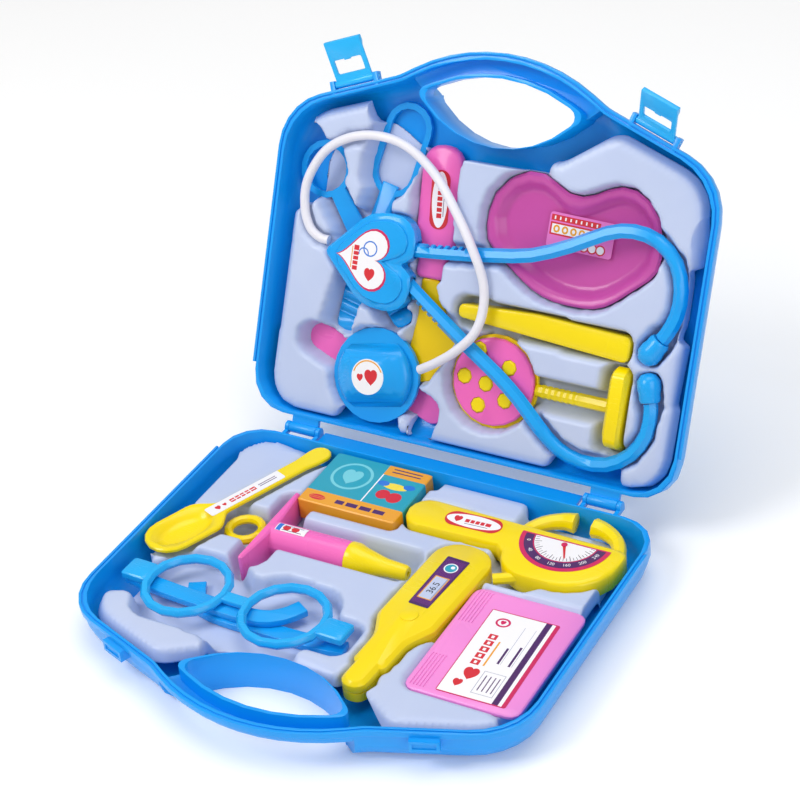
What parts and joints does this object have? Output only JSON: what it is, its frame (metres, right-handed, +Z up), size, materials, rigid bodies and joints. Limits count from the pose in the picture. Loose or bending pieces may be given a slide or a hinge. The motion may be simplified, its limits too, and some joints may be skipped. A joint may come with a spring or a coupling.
{
  "type": "toy doctor case",
  "caption": "Open hinged carry case of a toy doctor set, with formed trays holding a stethoscope and fifteen play instruments.",
  "frame": {"origin": "centre of the underside of the base, on the surface it rests on", "axes": "+X to the right seen from the handle side, +Y from the handle to the hinge, +Z up"},
  "size_m": [0.274, 0.3463, 0.2353],
  "materials": {
    "case_blue": "moulded, semi-gloss",
    "latch_blue": "moulded, semi-gloss",
    "tray_lavender": "vacuum-formed sheet",
    "toy_yellow": "moulded, semi-gloss",
    "toy_pink": "moulded, semi-gloss",
    "card_pink": "moulded, semi-gloss",
    "box_card": "printed card, coated",
    "tube_white": "soft vinyl"
  },
  "bodies": {
    "base": {"base_shell": "case_blue", "base_tray": "tray_lavender"},
    "lid": {"lid_shell": "case_blue", "lid_tray": "tray_lavender", "scissors_half_a": "case_blue", "scissors_half_b": "case_blue", "scissors_rivet": "case_blue", "scalpel_handle": "toy_pink", "scalpel_blade": "toy_yellow", "kidney_dish": "toy_pink", "tweezers": "toy_yellow", "hammer_handle": "toy_yellow", "hammer_face": "toy_pink", "hammer_head": "toy_yellow", "tongue_depressor": "toy_pink"},
    "stethoscope": {"yoke_front": "case_blue", "yoke_back": "case_blue", "ear_tube_upper": "case_blue", "ear_tube_lower": "case_blue", "ear_tip_upper": "case_blue", "ear_tip_lower": "case_blue", "chest_dome": "case_blue", "chest_ring": "case_blue", "chest_tube": "tube_white"},
    "latch_left": {"latch_left": "latch_blue"},
    "latch_right": {"latch_right": "latch_blue"},
    "spoon": {"spoon": "toy_yellow"},
    "medicine_box": {"medicine_box": "box_card"},
    "syringe": {"syringe_barrel": "toy_pink", "syringe_nozzle": "toy_yellow"},
    "plunger": {"syringe_plunger": "toy_yellow"},
    "glasses": {"glasses_front": "case_blue", "glasses_temple_left": "case_blue", "glasses_temple_right": "case_blue"},
    "thermometer": {"thermometer_front": "toy_yellow", "thermometer_back": "toy_yellow"},
    "gauge": {"gauge_front": "toy_yellow", "gauge_back": "toy_yellow"},
    "id_card": {"id_card": "card_pink"}
  },
  "joints": [
    {"name": "lid_hinge", "type": "hinge", "parent": "base", "child": "lid", "pos_m": [0, 0.1068, 0.02365], "axis": [-1, 0, 0], "range_deg": [-116, 0]},
    {"name": "latch_left_hinge", "type": "hinge", "parent": "lid", "child": "latch_left", "pos_m": [-0.09312, 0.20005, 0.20766], "axis": [-0.9409, -0.1484, -0.3043], "range_deg": [-70, 50]},
    {"name": "latch_right_hinge", "type": "hinge", "parent": "lid", "child": "latch_right", "pos_m": [0.09312, 0.20005, 0.20766], "axis": [-0.9409, 0.1484, 0.3043], "range_deg": [-46, 74]},
    {"name": "stethoscope_lift", "type": "slide", "parent": "lid", "child": "stethoscope", "axis": [0, -0.8988, 0.4384], "range_m": [0, 0.03]},
    {"name": "spoon_lift", "type": "slide", "parent": "base", "child": "spoon", "axis": [0, 0, 1], "range_m": [0, 0.12]},
    {"name": "medicine_box_lift", "type": "slide", "parent": "base", "child": "medicine_box", "axis": [0, 0, 1], "range_m": [0, 0.12]},
    {"name": "syringe_lift", "type": "slide", "parent": "base", "child": "syringe", "axis": [0, 0, 1], "range_m": [0, 0.12]},
    {"name": "plunger_slide", "type": "slide", "parent": "syringe", "child": "plunger", "axis": [-1, 0, 0], "range_m": [0, 0.0045]},
    {"name": "glasses_lift", "type": "slide", "parent": "base", "child": "glasses", "axis": [0, 0, 1], "range_m": [0, 0.12]},
    {"name": "thermometer_lift", "type": "slide", "parent": "base", "child": "thermometer", "axis": [0, 0, 1], "range_m": [0, 0.12]},
    {"name": "gauge_lift", "type": "slide", "parent": "base", "child": "gauge", "axis": [0, 0, 1], "range_m": [0, 0.12]},
    {"name": "id_card_lift", "type": "slide", "parent": "base", "child": "id_card", "axis": [0, 0, 1], "range_m": [0, 0.12]}
  ]
}
